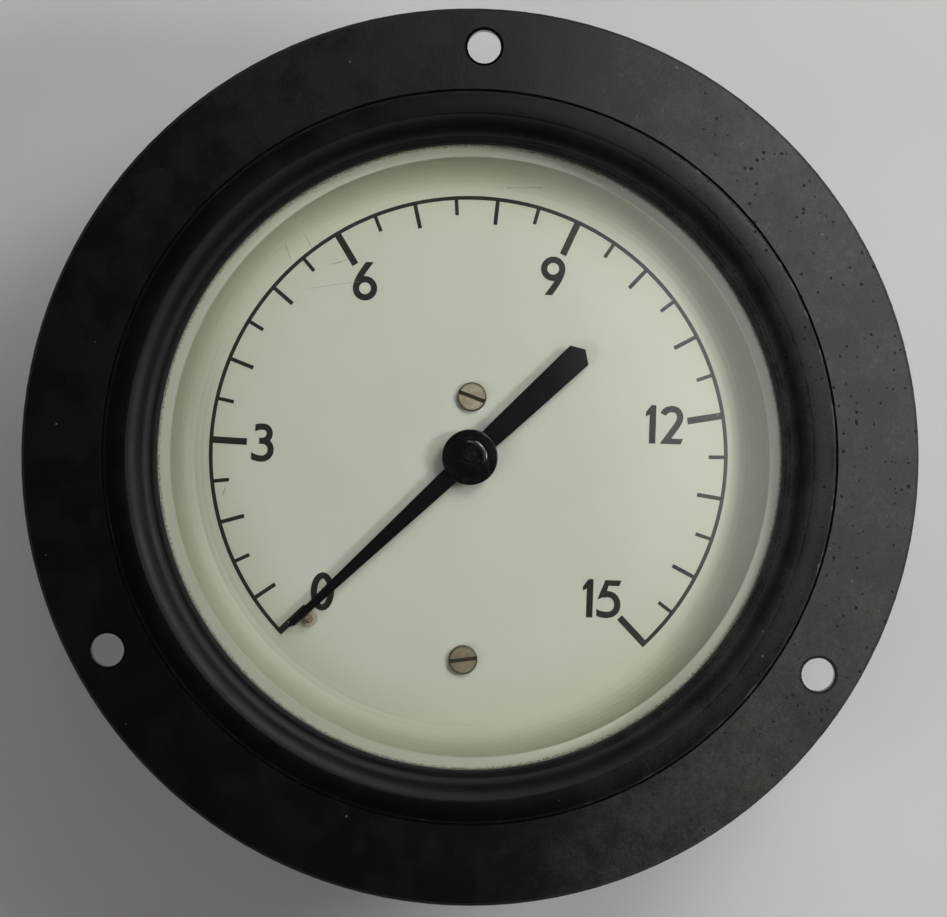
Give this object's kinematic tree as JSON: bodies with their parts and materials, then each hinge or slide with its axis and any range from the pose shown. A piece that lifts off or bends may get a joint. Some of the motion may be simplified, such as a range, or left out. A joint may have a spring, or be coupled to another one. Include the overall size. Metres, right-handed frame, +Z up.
{
  "type": "aircraft pressure gauge",
  "caption": "Round flange-mounted pressure gauge with a cream dial, black pointer, geared movement and coiled pressure tube, and a threaded pressure stem at the back.",
  "frame": {"origin": "centre of the bolt circle on the rear face of the flange, which lies on the panel", "axes": "+Y back through the panel, -Y out of the dial, +Z up, +X to the right of someone reading the dial"},
  "size_m": [0.1492, 0.0726, 0.1492],
  "materials": {
    "case_enamel": "satin black enamel over cast aluminium, rubbed at the edges",
    "bezel_enamel": "satin black enamel over turned aluminium",
    "window": "clear, polished, with faint scratches",
    "gasket_rubber": "matt moulded rubber",
    "dial_enamel": "satin cream enamel on pressed sheet",
    "screw_nickel": "dull nickel plate",
    "brass": "machined brass, lightly tarnished",
    "steel": "turned steel",
    "tube_bronze": "drawn phosphor bronze",
    "spring_steel": "polished spring strip",
    "pointer_enamel": "semi-gloss black enamel"
  },
  "bodies": {
    "case": {"case_shell": "case_enamel", "bezel_ring": "bezel_enamel", "window_glass": "window", "glass_gasket": "gasket_rubber", "dial": "dial_enamel", "dial_screws": "screw_nickel", "dial_post": "brass", "stop_pin": "screw_nickel", "socket": "brass", "socket_gasket": "gasket_rubber", "case_screws": "steel", "restrictor": "brass", "pressure_tube": "tube_bronze", "rear_plate": "brass", "front_plate": "brass", "pillars": "brass", "pillar_screws": "steel", "movement_screws": "steel", "hairspring": "spring_steel", "hairspring_stud": "brass"},
    "sector": {"sector_gear": "brass", "sector_arbor": "steel", "span_screw": "steel", "span_nut": "brass"},
    "link_bar": {"link": "brass"},
    "tube_tip": {"tube_end": "brass", "tip_pin": "steel"},
    "pointer": {"pinion_arbor": "steel", "hairspring_collet": "brass", "pointer_hub": "pointer_enamel", "pointer_blade": "pointer_enamel"}
  },
  "joints": [
    {"name": "sector_swing", "type": "hinge", "parent": "case", "child": "sector", "pos_m": [0.02523, 0.0188, -0.01767], "axis": [0, 1, 0], "range_deg": [-27, 0], "stiffness_Nm_per_rad": 0.02},
    {"name": "pointer_spin", "type": "hinge", "parent": "case", "child": "pointer", "pos_m": [0, 0.0063, 0], "axis": [0, 1, 0], "range_deg": [0, 270], "deforming": ["hairspring"]},
    {"name": "tube_flex", "type": "hinge", "parent": "case", "child": "tube_tip", "pos_m": [-0.00989, 0.024, 0.01046], "axis": [0, 1, 0], "range_deg": [-3.9, 0], "deforming": ["pressure_tube"]},
    {"name": "link_pivot", "type": "hinge", "parent": "sector", "child": "link_bar", "pos_m": [0.03117, 0.0204, -0.02031], "axis": [0, 1, 0], "range_deg": [0, 27]}
  ],
  "couplings": [
    {"joint": "pointer_spin", "follows": "sector_swing", "ratio": -10},
    {"joint": "tube_flex", "follows": "sector_swing", "ratio": 0.141},
    {"joint": "link_pivot", "follows": "sector_swing", "ratio": -0.998}
  ]
}
